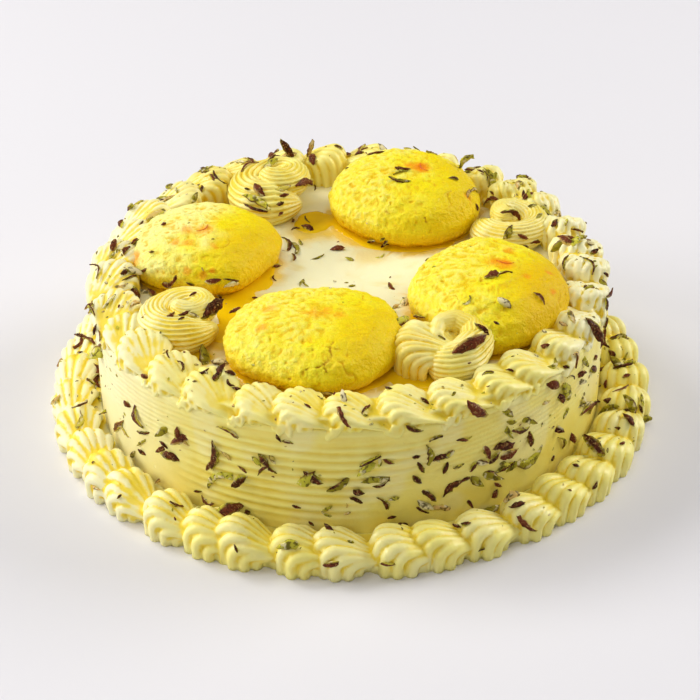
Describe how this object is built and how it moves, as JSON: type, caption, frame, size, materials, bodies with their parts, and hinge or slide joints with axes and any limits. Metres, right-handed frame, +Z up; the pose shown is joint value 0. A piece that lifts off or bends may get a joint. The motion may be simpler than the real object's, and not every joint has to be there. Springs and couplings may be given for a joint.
{
  "type": "rasmalai cake",
  "caption": "Round cream cake with a combed wall, piped cream round its foot and rim, yellow rasmalai patties and piped rosettes on top, and nut slivers scattered over it.",
  "frame": {"origin": "middle of the cake's flat underside", "axes": "+Z up from the underside; -Y towards the front, where the comb's grooves are clearest"},
  "size_m": [0.2423, 0.2425, 0.0745],
  "materials": {
    "cream": "matte",
    "piped_cream": "satin",
    "rasmalai": "satin",
    "glaze": "gloss",
    "nut": "matte",
    "saffron": "matte"
  },
  "bodies": {
    "root": {"cake_body": "cream", "bottom_border": "piped_cream", "top_border": "piped_cream", "rosette_front_right": "piped_cream", "rosette_left": "piped_cream", "rosette_back_left": "piped_cream", "rosette_back_right": "piped_cream", "rasmalai_front": "rasmalai", "rasmalai_left": "rasmalai", "rasmalai_back": "rasmalai", "rasmalai_right": "rasmalai"}
  },
  "joints": []
}
